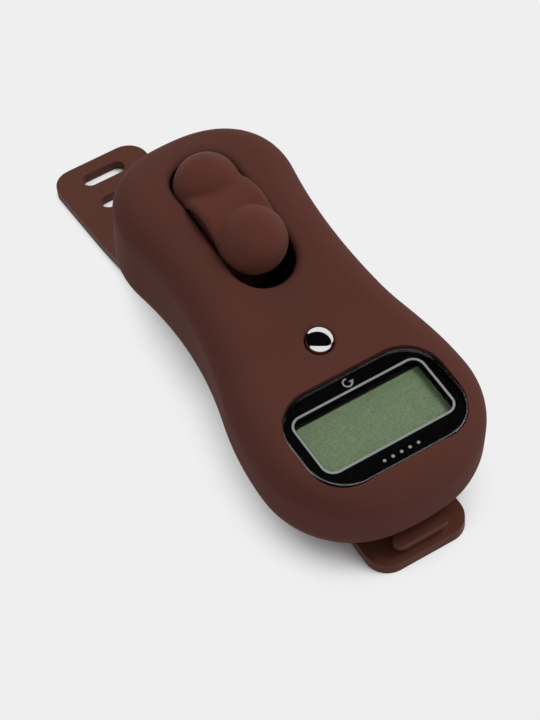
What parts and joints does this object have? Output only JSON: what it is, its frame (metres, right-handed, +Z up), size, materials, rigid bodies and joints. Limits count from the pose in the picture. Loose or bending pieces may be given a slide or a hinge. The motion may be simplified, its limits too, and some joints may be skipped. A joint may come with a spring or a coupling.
{
  "type": "digital tasbih counter",
  "caption": "Peanut-shaped soft-touch hand counter with a thumb-rolled bead wheel, a push button, a framed display and a slotted silicone finger strap.",
  "frame": {"origin": "middle of the box round the counter as it lies, on the surface that carries it", "axes": "+Z up, +Y along the strap towards its slotted end and the bead wheel, +X across"},
  "size_m": [0.0396, 0.1091, 0.0379],
  "materials": {
    "soft_shell": "soft-touch matte",
    "bead_silicone": "matte silicone",
    "strap_silicone": "matte silicone",
    "inner_moulding": "moulded",
    "steel": "plain",
    "spring_metal": "plain",
    "circuit_board": "solder mask",
    "resin": "cured resin",
    "display_glass": "blank reflective display",
    "conductive_rubber": "striped strip and foam",
    "clear_lens": "polished",
    "black_film": "printed film",
    "bright_chrome": "polished",
    "switch_plastic": "moulded"
  },
  "bodies": {
    "housing": {"top_shell": "soft_shell", "bottom_cover": "soft_shell", "battery_door": "soft_shell", "battery_door_screw": "steel", "button_cell": "steel", "cell_contact_plus": "spring_metal", "cell_contact_minus": "spring_metal", "count_leaf": "spring_metal", "count_contact": "spring_metal", "main_board": "circuit_board", "chip_blob": "resin", "lcd_cell": "display_glass", "lcd_frame": "inner_moulding", "zebra_strip": "conductive_rubber", "lcd_pad": "conductive_rubber", "display_lens": "clear_lens", "lens_mask": "black_film", "reset_switch": "switch_plastic", "strap": "strap_silicone", "case_screw_1": "steel", "case_screw_2": "steel", "case_screw_3": "steel", "case_screw_4": "steel", "board_screw_1": "steel", "board_screw_2": "steel"},
    "wheel": {"bead_tyre": "bead_silicone", "wheel_hub": "inner_moulding", "wheel_axle": "steel", "count_cam": "inner_moulding"},
    "button": {"reset_button": "bright_chrome", "switch_plunger": "switch_plastic"}
  },
  "joints": [
    {"name": "wheel_spin", "type": "hinge", "parent": "housing", "child": "wheel", "pos_m": [0, 0.00159, 0.02785], "axis": [1, 0, 0], "continuous": true, "deforming": ["count_leaf"]},
    {"name": "button_press", "type": "slide", "parent": "housing", "child": "button", "axis": [0, 0.291, -0.9567], "range_m": [0, 0.0004], "stiffness_N_per_m": 2000}
  ]
}
